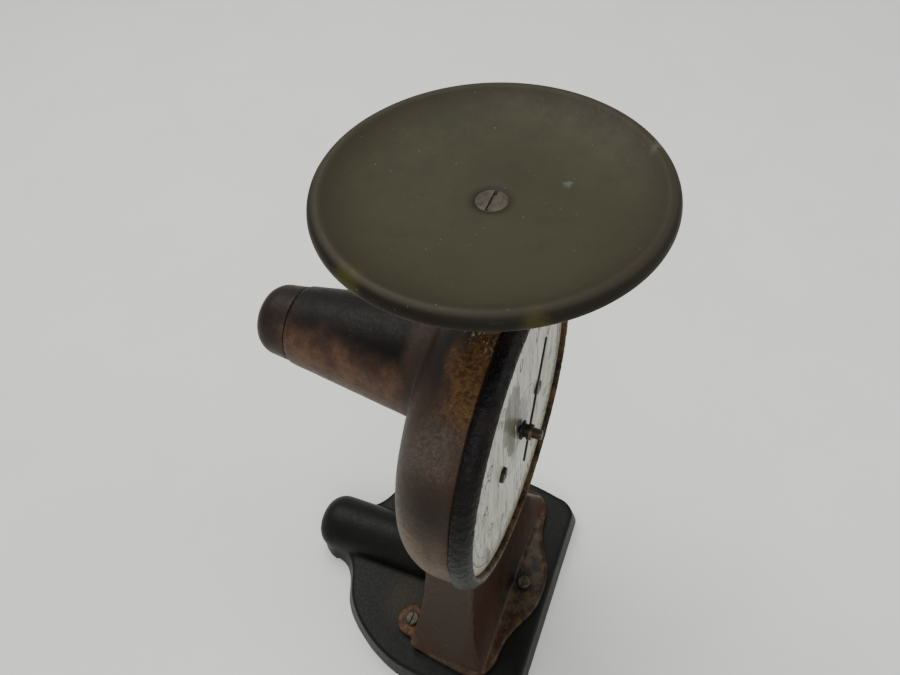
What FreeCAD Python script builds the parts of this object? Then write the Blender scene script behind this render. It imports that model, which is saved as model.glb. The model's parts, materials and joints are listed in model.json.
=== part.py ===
import FreeCAD, Part
import math
import os

# Counter scale with a dial: a plate on a stem loads two springs inside a cast-iron stand, and a rack on
# the same load frame turns the pointer. Millimetres. The table is z = 0, the stem is the Z axis, the dial
# faces -Y and both hollow horns, which house the two guide links, point to +Y.

# Driving dimensions
HEIGHT = 328.0          # table to the rim of the weighing plate
PLATE_R = 60.0
DIAL_Z = 190.5          # height of the dial's centre and of the pointer arbor
DRUM_R = 73.0
FRONT_Y = -6.0          # front face of the drum casting
BACK_Y = 27.0           # rear face of the drum casting
WALL = 4.0              # casting thickness
TRAVEL = 13.8           # stroke of the weighing plate
HORN_Z = 224.0          # height of the upper horn's axis
HORN_END_Y = 93.0       # where the horn casting stops and its cap starts
BASE_TOP = 15.0
FLANGE_T = 5.0
TUNNEL_Z = 15.0         # height of the lower horn's axis
TUNNEL_R = 18.0
TUNNEL_Y = (37.0, 112.0)  # lower horn from its open mouth to the start of its dome
TAIL_END_Y = 123.5      # tip of that dome

# Running gear
STEM_R = 3.5
RUN_GAP = 0.05          # radial clearance of a shaft in its bearing
FRAME_Y = (6.5, 9.5)    # front and back faces of the flat load frame
FRAME_X = 9.5
WINDOW_X = 6.0
FRAME_Z = (140.0, 246.0)
CROSSHEAD_Z = (235.0, 246.0)
STRAP_T = 3.0
PIN_R = 1.3
LINK_EYE_R = 2.1
PIVOT_R = 2.0
PIVOT_X = 18.5          # half-length of the upper pivot pin
LOW_PIVOT_X = 16.5      # half-length of the lower pivot pin
LINK_LENGTH = 66.0
UPPER_PIN_Z = 231.0
LOWER_PIN_Z = 22.0
UPPER_PIN_Y = 8.0
LOWER_PIN_Y = 11.0
LINK_DROP = 7.0         # how far a link's front end stands above its pivot at rest

# Rack and pinion
MODULE = 0.4
PINION_TEETH = 12
PITCH_R = MODULE * PINION_TEETH / 2
PRESSURE = math.radians(20.0)
BACKLASH = 0.12         # taken off each pinion tooth's thickness
MESH_GAP = 0.03         # the rack stands this much further out than the pitch line
ARBOR_R = 1.25

# Dial side
DIAL_Y = -11.5          # face of the dial
DIAL_T = 0.7
DIAL_R = 67.2
PILLAR_X = 25.0
PILLAR_R = 4.0
COCK_Y = (-8.6, -6.2)
SPRING_X = 15.5
SPRING_Y = 8.0
SPRING_TOP_Z = 199.0
SPRING_LOW_Z = 148.5
POINTER_ANGLE = math.radians(26.0)

V = FreeCAD.Vector
X_AXIS = V(1, 0, 0)
Y_AXIS = V(0, 1, 0)
Z_AXIS = V(0, 0, 1)
SHAPES = {}


def save(name, shape):
    """Writes one sub-part as parts/NAME.step."""
    SHAPES[name] = shape
    shape.exportStep("parts/" + name + ".step")


def box(x, y, z):
    """A block from three (low, high) pairs."""
    return Part.makeBox(x[1] - x[0], y[1] - y[0], z[1] - z[0], V(x[0], y[0], z[0]))


def rod_x(radius, x, y, z):
    """A round bar along X between the two values of x."""
    return Part.makeCylinder(radius, x[1] - x[0], V(x[0], y, z), X_AXIS)


def rod_y(radius, x, y, z):
    """A round bar along Y between the two values of y."""
    return Part.makeCylinder(radius, y[1] - y[0], V(x, y[0], z), Y_AXIS)


def rod_z(radius, x, y, z):
    """A round bar along Z between the two values of z."""
    return Part.makeCylinder(radius, z[1] - z[0], V(x, y, z[0]), Z_AXIS)


def profile_face(parts):
    """A face from a closed chain: an entry is a point (a line goes to it) or a (via, end) pair for an arc."""
    edges = []
    here = parts[0]
    for part in parts[1:] + [parts[0]]:
        if isinstance(part, tuple):
            via, end = part
            edges.append(Part.Arc(here, via, end).toShape())
            here = end
        else:
            edges.append(Part.makeLine(here, part))
            here = part
    return Part.Face(Part.Wire(edges))


def turned_z(parts):
    """Revolves (radius, z) points about the stem axis."""
    lift = [tuple(V(r, 0, z) for r, z in p) if isinstance(p[0], tuple) else V(p[0], 0, p[1]) for p in parts]
    return profile_face(lift).revolve(V(0, 0, 0), Z_AXIS, 360)


def turned_y(parts, axis_z):
    """Revolves (y, radius) points about an axis along Y at the given height."""
    lift = [
        tuple(V(0, y, axis_z + r) for y, r in p) if isinstance(p[0], tuple) else V(0, p[0], axis_z + p[1])
        for p in parts
    ]
    return profile_face(lift).revolve(V(0, 0, axis_z), Y_AXIS, 360)


def slotted(head, centre, axis, length, width, depth):
    """Cuts a screwdriver slot across a head, with its floor depth below centre."""
    across = X_AXIS if abs(axis.z) > 0.5 else Z_AXIS
    side = axis.cross(across)
    corner = centre - across * (length / 2) - side * (width / 2) - axis * depth
    slot = Part.makeBox(length, width, depth * 2, V(0, 0, 0))
    turn = FreeCAD.Matrix(
        across.x, side.x, axis.x, corner.x,
        across.y, side.y, axis.y, corner.y,
        across.z, side.z, axis.z, corner.z,
        0, 0, 0, 1,
    )
    return head.cut(slot.transformGeometry(turn))


def pan_screw(seat, axis, head_r, head_h, shank_r, shank_l):
    """A slotted round-head screw. seat is on the surface under the head, axis points out of the head."""
    shank = Part.makeCylinder(shank_r, shank_l, seat - axis * shank_l, axis)
    head = Part.makeCylinder(head_r, head_h, seat, axis)
    top_edge = [e for e in head.Edges if abs((e.CenterOfMass - seat - axis * head_h).Length) < 1e-6]
    head = head.makeFillet(head_h * 0.45, top_edge)
    head = slotted(head, seat + axis * head_h, axis, head_r * 2.4, head_r * 0.24, head_h * 0.5)
    return head.fuse(shank)


def mirrored_x(shape):
    """The same shape on the other side of x = 0."""
    return shape.mirror(V(0, 0, 0), X_AXIS)


# ---------------------------------------------------------------- plate, stem and load frame

FLOOR_TOP = HEIGHT - 8.0
FLOOR_LOW = HEIGHT - 10.0
SCREW_HEAD_R = 5.5
SCREW_SHANK_R = 2.9
HUB_R = 17.0            # flange of the hub under the plate
SEAT_R = 16.0           # the plate's floor is flat out to here
SINK_TOP = FLOOR_TOP - 0.4
SINK_LOW = FLOOR_LOW + 0.2


def make_weigh_plate():
    """Spun brass pan: a gently dished floor, a rounded rim and a countersunk hole in a slight dimple."""
    edge = PLATE_R
    return turned_z([
        (SCREW_SHANK_R, FLOOR_LOW),
        (SCREW_SHANK_R, SINK_LOW),
        (SCREW_HEAD_R, SINK_TOP),
        (SCREW_HEAD_R + 2.5, FLOOR_TOP),
        (SEAT_R, FLOOR_TOP),
        ((edge - 25.0, FLOOR_TOP + 1.65), (edge - 5.8, FLOOR_TOP + 6.6)),
        ((edge - 3.8, HEIGHT), (edge - 1.5, FLOOR_TOP + 6.9)),
        ((edge - 0.4, FLOOR_TOP + 5.6), (edge, FLOOR_TOP + 4.2)),
        (edge, FLOOR_TOP + 3.4),
        ((edge - 0.7, FLOOR_TOP + 2.7), (edge - 1.4, FLOOR_TOP + 3.4)),
        (edge - 4.4, FLOOR_TOP + 4.6),
        ((edge - 24.0, FLOOR_LOW + 1.75), (HUB_R + 0.5, FLOOR_LOW)),
    ])


def make_plate_screw():
    """Countersunk slotted screw that holds the plate to its hub."""
    screw = turned_z([
        (0, SINK_TOP - 11.0),
        (SCREW_SHANK_R - 0.4, SINK_TOP - 11.0),
        (SCREW_SHANK_R - 0.4, FLOOR_LOW - 7.5),
        (SCREW_SHANK_R, FLOOR_LOW - 7.5),
        (SCREW_SHANK_R, SINK_LOW),
        (SCREW_HEAD_R, SINK_TOP),
        (0, SINK_TOP),
    ])
    return slotted(screw, V(0, 0, SINK_TOP), Z_AXIS, SCREW_HEAD_R * 2.0 - 0.4, 1.3, 0.8)


def make_plate_hub():
    """Flanged hub under the plate: threaded for the screw above, bored for the stem below."""
    hub = turned_z([
        (0, FLOOR_LOW),
        (HUB_R, FLOOR_LOW),
        (HUB_R, FLOOR_LOW - 2.2),
        ((10.5, FLOOR_LOW - 4.0), (8.0, FLOOR_LOW - 8.0)),
        (7.5, FLOOR_LOW - 17.0),
        (0, FLOOR_LOW - 17.0),
    ])
    hub = hub.cut(rod_z(SCREW_SHANK_R, 0, 0, (FLOOR_LOW - 7.5, FLOOR_LOW)))
    return hub.cut(rod_z(STEM_R, 0, 0, (FLOOR_LOW - 17.0, FLOOR_LOW - 7.5)))


def make_stem():
    """Steel rod from the hub down through the bush to the crosshead."""
    stem = rod_z(STEM_R, 0, 0, (CROSSHEAD_Z[0] + 2.0, FLOOR_LOW - 7.5))
    return stem.cut(rod_z(SCREW_SHANK_R - 0.4, 0, 0, (FLOOR_LOW - 14.0, FLOOR_LOW - 7.5)))


def make_crosshead():
    """Block that clamps the stem and carries the load frame on its rear face."""
    block = box((-FRAME_X, FRAME_X), (-5.0, FRAME_Y[0]), CROSSHEAD_Z)
    block = block.makeFillet(1.2, [e for e in block.Edges if abs(e.tangentAt(0).z) > 0.9])
    block = block.cut(rod_z(STEM_R, 0, 0, (CROSSHEAD_Z[0] + 2.0, CROSSHEAD_Z[1])))
    for x in (-6.5, 6.5):
        block = block.cut(rod_y(1.5, x, (1.5, FRAME_Y[0]), FRAME_SCREW_Z))
    return block


FRAME_SCREW_Z = 240.0
CROSSBAR_X = 20.0
CROSSBAR_Z = (140.0, 151.0)
WINDOW_Z = (153.0, 222.0)
RACK_Y = (3.5, 6.5)
RACK_Z = (144.0, 228.5)
RACK_SCREW_Z = (148.0, 225.2)
RACK_SCREW_X = 4.3
STRAP_SCREW_Z = (143.0, 148.0)


def make_load_frame():
    """Flat steel stirrup round the arbor, with a wide lower bar for the springs."""
    frame = box((-FRAME_X, FRAME_X), FRAME_Y, FRAME_Z)
    frame = frame.fuse(box((-CROSSBAR_X, CROSSBAR_X), FRAME_Y, CROSSBAR_Z)).removeSplitter()
    frame = frame.cut(box((-WINDOW_X, WINDOW_X), FRAME_Y, WINDOW_Z))
    for x in (-6.5, 6.5):
        frame = frame.cut(rod_y(1.5, x, FRAME_Y, FRAME_SCREW_Z))
    for z in RACK_SCREW_Z:
        frame = frame.cut(rod_y(1.1, RACK_SCREW_X, FRAME_Y, z))
    for z in STRAP_SCREW_Z:
        frame = frame.cut(rod_y(1.1, 0, FRAME_Y, z))
    for x in (-SPRING_X, SPRING_X):
        frame = frame.cut(rod_y(1.2, x, FRAME_Y, SPRING_LOW_Z - 3.0))
    return frame.cut(rod_x(PIN_R, (-FRAME_X, FRAME_X), UPPER_PIN_Y, UPPER_PIN_Z))


def make_frame_screws():
    """Two screws that hold the load frame to the crosshead."""
    screws = [pan_screw(V(x, FRAME_Y[1], FRAME_SCREW_Z), Y_AXIS, 2.6, 1.8, 1.5, 8.0) for x in (-6.5, 6.5)]
    return Part.makeCompound(screws)


def rack_tooth(z):
    """Straight-sided rack tooth at height z, pointing to the arbor."""
    addendum = 0.26
    dedendum = 0.5
    half = math.pi * MODULE / 4
    slope = math.tan(PRESSURE)
    pitch_x = PITCH_R + MESH_GAP
    points = [
        V(pitch_x + dedendum, RACK_Y[0], z - half - dedendum * slope),
        V(pitch_x - addendum, RACK_Y[0], z - half + addendum * slope),
        V(pitch_x - addendum, RACK_Y[0], z + half - addendum * slope),
        V(pitch_x + dedendum, RACK_Y[0], z + half + dedendum * slope),
    ]
    face = Part.Face(Part.makePolygon(points + [points[0]]))
    return face.extrude(V(0, RACK_Y[1] - RACK_Y[0], 0))


def make_rack():
    """Brass rack on the front of the load frame, cut with teeth over the stroke of the arbor."""
    root_x = PITCH_R + MESH_GAP + 0.5
    rack = box((root_x, WINDOW_X + 0.5), RACK_Y, RACK_Z)
    pitch = math.pi * MODULE
    first = -3
    last = int(TRAVEL / pitch) + 4
    teeth = [rack_tooth(DIAL_Z + pitch * n) for n in range(first, last)]
    rack = rack.fuse(teeth)
    for z in RACK_SCREW_Z:
        rack = rack.cut(rod_y(1.1, RACK_SCREW_X, RACK_Y, z))
    return rack.removeSplitter()


def make_rack_screws():
    """Two small screws that hold the rack to the load frame."""
    front = V(0, -1, 0)
    screws = [pan_screw(V(RACK_SCREW_X, RACK_Y[0], z), front, 1.9, 1.2, 1.1, 5.8) for z in RACK_SCREW_Z]
    return Part.makeCompound(screws)


def make_lower_strap():
    """Flat strap from the load frame down the pedestal to the lower link."""
    y = (FRAME_Y[1], FRAME_Y[1] + STRAP_T)
    strap = box((-4.0, 4.0), y, (LOWER_PIN_Z - 3.5, CROSSBAR_Z[1]))
    for z in STRAP_SCREW_Z:
        strap = strap.cut(rod_y(1.1, 0, y, z))
    return strap.cut(rod_x(PIN_R, (-4.0, 4.0), LOWER_PIN_Y, LOWER_PIN_Z))


def make_strap_screws():
    """Two screws that hold the strap to the load frame."""
    seat_y = FRAME_Y[1] + STRAP_T
    screws = [pan_screw(V(0, seat_y, z), Y_AXIS, 1.9, 1.2, 1.1, 5.8) for z in STRAP_SCREW_Z]
    return Part.makeCompound(screws)


# ---------------------------------------------------------------- springs and links

SPRING_COIL_R = 3.1
SPRING_WIRE_R = 0.5
HOOK_R = 3.0
POST_R = 2.2


def make_spring(x):
    """Extension spring: a coil on a vertical axis, with a ring hook at each end."""
    low = SPRING_LOW_Z + HOOK_R + 0.4
    high = SPRING_TOP_Z - HOOK_R - 0.4
    turns = 24
    helix = Part.makeHelix((high - low) / turns, high - low, SPRING_COIL_R)
    start = V(SPRING_COIL_R, 0, 0)
    section = Part.Wire(Part.makeCircle(SPRING_WIRE_R, start, Y_AXIS))
    coil = Part.Wire(helix.Edges).makePipeShell([section], True, True)
    coil.translate(V(0, 0, low))
    low_ring = Part.makeTorus(HOOK_R, SPRING_WIRE_R, V(0, 0, SPRING_LOW_Z), X_AXIS)
    top_ring = Part.makeTorus(HOOK_R, SPRING_WIRE_R, V(0, 0, SPRING_TOP_Z), Y_AXIS)
    joins = []
    for end_z, ring_z in ((low, SPRING_LOW_Z + HOOK_R), (high, SPRING_TOP_Z - HOOK_R)):
        reach = V(-SPRING_COIL_R, 0, ring_z - end_z)
        joins.append(Part.makeCylinder(SPRING_WIRE_R, reach.Length, V(SPRING_COIL_R, 0, end_z), reach))
    spring = coil.fuse([low_ring, top_ring] + joins)
    spring.translate(V(x, SPRING_Y, 0))
    return spring


def make_spring_posts():
    """Two grooved pins in the drum's rear wall that hold the springs' upper hooks."""
    posts = []
    for x in (-SPRING_X, SPRING_X):
        post = rod_y(POST_R, x, (4.5, BACK_Y - 2.5), SPRING_TOP_Z)
        post = post.fuse(rod_y(POST_R + 1.2, x, (3.3, 4.5), SPRING_TOP_Z))
        posts.append(post)
    return Part.makeCompound(posts)


def make_link(front_y, front_z, inner_x, outer_x, half_h):
    """Forked guide link: two arms beside the load member, joined near a cross boss at the rear pivot."""
    rear = V(0, front_y + LINK_LENGTH, front_z - LINK_DROP)
    front = V(0, front_y, front_z)
    along = rear - front
    span = along.Length
    arm = Part.makeBox(outer_x - inner_x, span, 2 * half_h, V(inner_x, 0, -half_h))
    arm = arm.fuse(rod_x(half_h + 1.2, (inner_x, outer_x), 0, 0))
    bridge = Part.makeBox(2 * outer_x, 6.0, 2 * half_h, V(-outer_x, span - 22.0, -half_h))
    boss = rod_x(5.0, (-outer_x, outer_x), span, 0)
    link = arm.fuse([mirrored_x(arm), bridge, boss])
    link = link.cut(rod_x(LINK_EYE_R, (-outer_x - 1, outer_x + 1), 0, 0))
    link = link.cut(rod_x(PIVOT_R + RUN_GAP, (-outer_x - 1, outer_x + 1), span, 0))
    tilt = math.degrees(math.atan2(along.z, along.y))
    link.rotate(V(0, 0, 0), X_AXIS, tilt)
    link.translate(front)
    return link.removeSplitter()


# ---------------------------------------------------------------- arbor and pointer

COLLET_Y = (-15.4, -12.3)
POINTER_Y = (-16.3, -15.4)
WASHER_Y = (-17.6, -16.3)
NUT_Y = (-22.0, -17.6)


def make_arbor():
    """Steel arbor from the rear bearing through the cock and the dial to the pointer's nut."""
    return rod_y(ARBOR_R, 0, (NUT_Y[0] + 0.8, 21.5), DIAL_Z)


def involute(base_r, radius):
    """Polar angle of an involute of base_r where it reaches radius."""
    roll = math.sqrt((radius / base_r) ** 2 - 1.0)
    return roll - math.atan(roll)


def make_pinion():
    """Twelve-tooth brass pinion, cut thin so that it runs free in the rack."""
    base_r = PITCH_R * math.cos(PRESSURE)
    tip_r = PITCH_R + MODULE
    root_r = PITCH_R - 0.5
    half_pitch_angle = (math.pi * MODULE / 2 - BACKLASH) / PITCH_R / 2
    mid = involute(base_r, PITCH_R)
    steps = 5
    radii = [base_r + (tip_r - base_r) * n / steps for n in range(steps + 1)]
    flank = [(root_r, half_pitch_angle + mid)]
    flank += [(r, half_pitch_angle + mid - involute(base_r, r)) for r in radii]
    outline = []
    for tooth in range(PINION_TEETH):
        # A tooth gap faces the rack tooth at the arbor's height, so the two mesh at rest.
        centre = 2 * math.pi * (tooth + 0.5) / PINION_TEETH
        outline += [(r, centre - a) for r, a in flank]
        outline += [(r, centre + a) for r, a in reversed(flank)]
    points = [V(r * math.cos(a), 3.0, DIAL_Z + r * math.sin(a)) for r, a in outline]
    face = Part.Face(Part.makePolygon(points + [points[0]]))
    return face.extrude(V(0, 4.0, 0)).cut(rod_y(ARBOR_R, 0, (3.0, 7.0), DIAL_Z))


def make_pointer_collet():
    """Black flanged collet that grips the arbor behind the pointer."""
    collet = turned_y([
        (COLLET_Y[1], 0),
        (COLLET_Y[1], 4.6),
        (COLLET_Y[1] - 1.1, 4.6),
        (COLLET_Y[1] - 1.7, 3.2),
        (COLLET_Y[0], 3.2),
        (COLLET_Y[0], 0),
    ], DIAL_Z)
    return collet.cut(rod_y(ARBOR_R, 0, COLLET_Y, DIAL_Z))


def make_pointer():
    """Thin blackened pointer: round eye, slender blade and a short counterweight tail."""
    length = 47.5
    tail = 15.5
    eye_r = 4.0
    blade = [
        (-0.9, 0.0),
        (-0.75, length - 8.0),
        (-0.35, length),
        (0.35, length),
        (0.75, length - 8.0),
        (0.9, 0.0),
        (0.9, -tail),
        (-0.9, -tail),
    ]
    points = [V(x, POINTER_Y[0], z) for x, z in blade]
    face = Part.Face(Part.makePolygon(points + [points[0]]))
    pointer = face.extrude(V(0, POINTER_Y[1] - POINTER_Y[0], 0))
    pointer = pointer.fuse(rod_y(eye_r, 0, POINTER_Y, 0)).removeSplitter()
    pointer = pointer.cut(rod_y(ARBOR_R, 0, POINTER_Y, 0))
    pointer.rotate(V(0, 0, 0), Y_AXIS, math.degrees(POINTER_ANGLE))
    pointer.translate(V(0, 0, DIAL_Z))
    return pointer


def make_pointer_washer():
    """Brass washer between pointer and nut."""
    return rod_y(3.7, 0, WASHER_Y, DIAL_Z).cut(rod_y(ARBOR_R, 0, WASHER_Y, DIAL_Z))


def make_pointer_nut():
    """Small domed nut on the arbor's end."""
    nut = turned_y([
        (NUT_Y[1], 0),
        (NUT_Y[1], 2.5),
        (NUT_Y[0] + 0.9, 2.4),
        ((NUT_Y[0] + 0.25, 2.1), (NUT_Y[0], 1.3)),
        (NUT_Y[0], 0),
    ], DIAL_Z)
    return nut.cut(rod_y(ARBOR_R, 0, (NUT_Y[0] + 0.8, NUT_Y[1]), DIAL_Z))


# ---------------------------------------------------------------- casting, bezel and dial

SPIGOT_R = 70.0
SPIGOT_Y = -8.6
BOSS_TOP = 271.0
BUSH_R = 4.8
BUSH_LOW = 246.3
HORN_ROOT_R = 27.5
HORN_TIP_R = 18.4
CAP_SPIGOT_R = HORN_TIP_R - WALL
CAP_BORE_R = 12.5
FOOT_SCREWS = ((0.0, -16.0), (-45.0, 40.0), (45.0, 40.0))

# Pedestal sections: height, half-width, front y, rear y. It flares to the foot in a cove.
PEDESTAL = (
    (BASE_TOP + FLANGE_T - 1.0, 61.0, -11.0, 36.0),
    (29.0, 55.5, -5.0, 34.5),
    (42.0, 49.0, -1.5, 32.5),
    (62.0, 42.5, 0.5, 30.5),
    (90.0, 38.0, 1.0, 28.5),
    (128.0, 37.0, 1.0, 25.0),
)


def drum(inset):
    """Bowl-shaped drum, revolved about the dial's axis; inset is how far inside the outer skin it lies."""
    front = FRONT_Y if inset == 0 else FRONT_Y - 5.0
    return turned_y([
        (front, 0),
        (front, DRUM_R - inset),
        (4.0, DRUM_R - inset),
        ((18.0 - inset * 0.55, 67.0 - inset * 0.8), (BACK_Y - 2.5 - inset, 56.0 - inset)),
        (BACK_Y - inset, 46.0 - inset),
        (BACK_Y - inset, 0),
    ], DIAL_Z)


def pedestal(inset, low_z):
    """Pedestal lofted through its sections, moved in by inset on all four sides."""
    wires = []
    for z, half, front, rear in PEDESTAL:
        level = low_z if z == PEDESTAL[0][0] else z
        corners = [
            V(-half + inset, front + inset, level),
            V(half - inset, front + inset, level),
            V(half - inset, rear - inset, level),
            V(-half + inset, rear - inset, level),
        ]
        wires.append(Part.makePolygon(corners + [corners[0]]))
    return Part.makeLoft(wires, True, False)


def foot_flange():
    """Foot plate: a broad lobe round the front screw, two round lobes round the rear screws."""
    right = [
        V(0, -29.0, BASE_TOP),
        V(13.0, -27.5, BASE_TOP),
        V(26.0, -21.5, BASE_TOP),
        V(40.0, -16.5, BASE_TOP),
        V(54.0, -14.5, BASE_TOP),
        V(62.5, -7.0, BASE_TOP),
        V(63.0, 8.0, BASE_TOP),
        V(61.0, 24.0, BASE_TOP),
        V(57.0, 36.5, BASE_TOP),
    ]
    left = [V(-p.x, p.y, p.z) for p in reversed(right)]
    front = Part.BSplineCurve()
    front.interpolate(left + right[1:])
    rear = Part.makePolygon([right[-1], left[0]])
    face = Part.Face(Part.Wire([front.toShape(), rear.Edges[0]]))
    flange = face.extrude(V(0, 0, FLANGE_T))
    for x, y in FOOT_SCREWS[1:]:
        flange = flange.fuse(rod_z(9.5, x, y, (BASE_TOP, BASE_TOP + FLANGE_T)))
    return flange.removeSplitter()


def horn_cone(inset):
    """Tapered upper horn, from inside the drum's rear wall to past the seat of its cap."""
    start = 15.0
    taper = (HORN_ROOT_R - HORN_TIP_R) / (HORN_END_Y - BACK_Y)
    end = HORN_END_Y + (1.0 if inset else 0.0)
    root = HORN_ROOT_R + taper * (BACK_Y - start) - inset
    tip = HORN_TIP_R - taper * (end - HORN_END_Y) - inset
    return Part.makeCone(root, tip, end - start, V(0, start, HORN_Z), Y_AXIS)


def make_housing():
    """One hollow casting: drum, neck, pedestal, foot flange and the open-ended upper horn."""
    outer = drum(0).fuse([
        pedestal(0, BASE_TOP + FLANGE_T - 1.0),
        foot_flange(),
        horn_cone(0),
        rod_z(8.5, 0, 0, (DIAL_Z + 60.0, BOSS_TOP)).common(box((-9, 9), (FRONT_Y, 9), (250, 272))),
        rod_y(SPIGOT_R, 0, (SPIGOT_Y, FRONT_Y), DIAL_Z),
    ])
    hollow = drum(WALL).fuse([
        pedestal(WALL, BASE_TOP - 1.0),
        horn_cone(WALL),
        rod_y(SPIGOT_R - 2.5, 0, (SPIGOT_Y - 1.0, FRONT_Y + 2.0), DIAL_Z),
    ])
    casting = outer.cut(hollow)
    arch = box((-11.0, 11.0), (20.0, 40.0), (BASE_TOP - 1.0, 28.0))
    casting = casting.cut(arch)
    pillars = [rod_y(PILLAR_R, x, (COCK_Y[1], BACK_Y - 2.0), DIAL_Z) for x in (-PILLAR_X, PILLAR_X)]
    casting = casting.fuse(pillars + [rod_y(6.0, 0, (20.0, BACK_Y - 1.0), DIAL_Z)])
    for x in (-PILLAR_X, PILLAR_X):
        casting = casting.cut(rod_y(1.5, x, (COCK_Y[1], COCK_Y[1] + 8.0), DIAL_Z))
    for x in (-SPRING_X, SPRING_X):
        casting = casting.cut(rod_y(POST_R, x, (10.0, BACK_Y - 2.5), SPRING_TOP_Z))
    casting = casting.cut(rod_z(BUSH_R, 0, 0, (240.0, BOSS_TOP + 1.0)))
    casting = casting.cut(rod_y(4.0, 0, (15.0, BACK_Y - 2.5), DIAL_Z))
    casting = casting.cut(rod_x(PIVOT_R, (-PIVOT_X, PIVOT_X), UPPER_PIN_Y + LINK_LENGTH, HORN_Z))
    for x, y in FOOT_SCREWS:
        casting = casting.cut(rod_z(2.2, x, y, (BASE_TOP - 1.0, BASE_TOP + FLANGE_T + 1.0)))
    front_seat = rod_z(5.5, FOOT_SCREWS[0][0], FOOT_SCREWS[0][1], (BASE_TOP + FLANGE_T, BASE_TOP + 16.0))
    return casting.cut(front_seat)


def make_horn_cap():
    """Round-ended cap that closes the upper horn, with a short spigot inside it."""
    end = HORN_END_Y + 18.0
    cap = turned_y([
        (HORN_END_Y, 0),
        (HORN_END_Y, HORN_TIP_R - 0.6),
        (HORN_END_Y + 10.0, HORN_TIP_R - 1.8),
        ((HORN_END_Y + 16.0, HORN_TIP_R - 5.2), (end, 6.0)),
        (end, 0),
    ], HORN_Z)
    cap = cap.cut(rod_y(CAP_BORE_R, 0, (HORN_END_Y, HORN_END_Y + 12.0), HORN_Z))
    ring = rod_y(CAP_SPIGOT_R, 0, (HORN_END_Y - 4.5, HORN_END_Y), HORN_Z)
    ring = ring.cut(rod_y(CAP_BORE_R, 0, (HORN_END_Y - 4.5, HORN_END_Y), HORN_Z))
    return cap.fuse(ring).removeSplitter()


def make_stem_bush():
    """Flanged brass bush that guides the stem. Its lower end stops the crosshead at rest."""
    bush = rod_z(BUSH_R, 0, 0, (BUSH_LOW, BOSS_TOP)).fuse(rod_z(6.8, 0, 0, (BOSS_TOP, BOSS_TOP + 1.6)))
    return bush.cut(rod_z(STEM_R + RUN_GAP, 0, 0, (BUSH_LOW, BOSS_TOP + 1.6))).removeSplitter()


def make_bezel_ring():
    """Convex cast ring round the dial, with a thin inner lip."""
    front = -14.6
    return turned_y([
        (SPIGOT_Y, 67.5),
        (front + 1.5, 67.3),
        ((front + 0.3, 67.8), (front, 68.9)),
        ((front + 2.5, 72.8), (front + 6.6, 74.3)),
        (FRONT_Y, 74.5),
        (FRONT_Y, SPIGOT_R),
        (SPIGOT_Y, SPIGOT_R),
    ], DIAL_Z)


def make_dial_plate():
    """Thin round dial with a clearance hole for the arbor and two screw holes."""
    dial = rod_y(DIAL_R, 0, (DIAL_Y, DIAL_Y + DIAL_T), DIAL_Z)
    dial = dial.cut(rod_y(2.2, 0, (DIAL_Y, DIAL_Y + DIAL_T), DIAL_Z))
    for x in (-PILLAR_X, PILLAR_X):
        dial = dial.cut(rod_y(1.5, x, (DIAL_Y, DIAL_Y + DIAL_T), DIAL_Z))
    return dial


def make_dial_screws():
    """Two slotted screws through dial, spacer and cock into the casting's pillars."""
    front = V(0, -1, 0)
    screws = [pan_screw(V(x, DIAL_Y, DIAL_Z), front, 3.6, 1.7, 1.5, 12.0) for x in (-PILLAR_X, PILLAR_X)]
    return Part.makeCompound(screws)


def make_dial_spacers():
    """Two brass tubes that hold the dial forward of the cock."""
    y = (DIAL_Y + DIAL_T, COCK_Y[0])
    tubes = [rod_y(3.6, x, y, DIAL_Z).cut(rod_y(1.5, x, y, DIAL_Z)) for x in (-PILLAR_X, PILLAR_X)]
    return Part.makeCompound(tubes)


def make_front_cock():
    """Brass bar across the pillars that carries the arbor's front bearing."""
    cock = box((-PILLAR_X - 5.0, PILLAR_X + 5.0), COCK_Y, (DIAL_Z - 4.5, DIAL_Z + 4.5))
    cock = cock.fuse(rod_y(7.0, 0, COCK_Y, DIAL_Z)).removeSplitter()
    cock = cock.cut(rod_y(ARBOR_R + RUN_GAP, 0, COCK_Y, DIAL_Z))
    for x in (-PILLAR_X, PILLAR_X):
        cock = cock.cut(rod_y(1.5, x, COCK_Y, DIAL_Z))
    return cock


def make_rear_bearing():
    """Blind brass bush in the drum's rear wall for the arbor's rear end."""
    bearing = rod_y(4.0, 0, (18.0, BACK_Y - 2.5), DIAL_Z)
    return bearing.cut(rod_y(ARBOR_R + RUN_GAP, 0, (18.0, 22.0), DIAL_Z))


# ---------------------------------------------------------------- base

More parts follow.
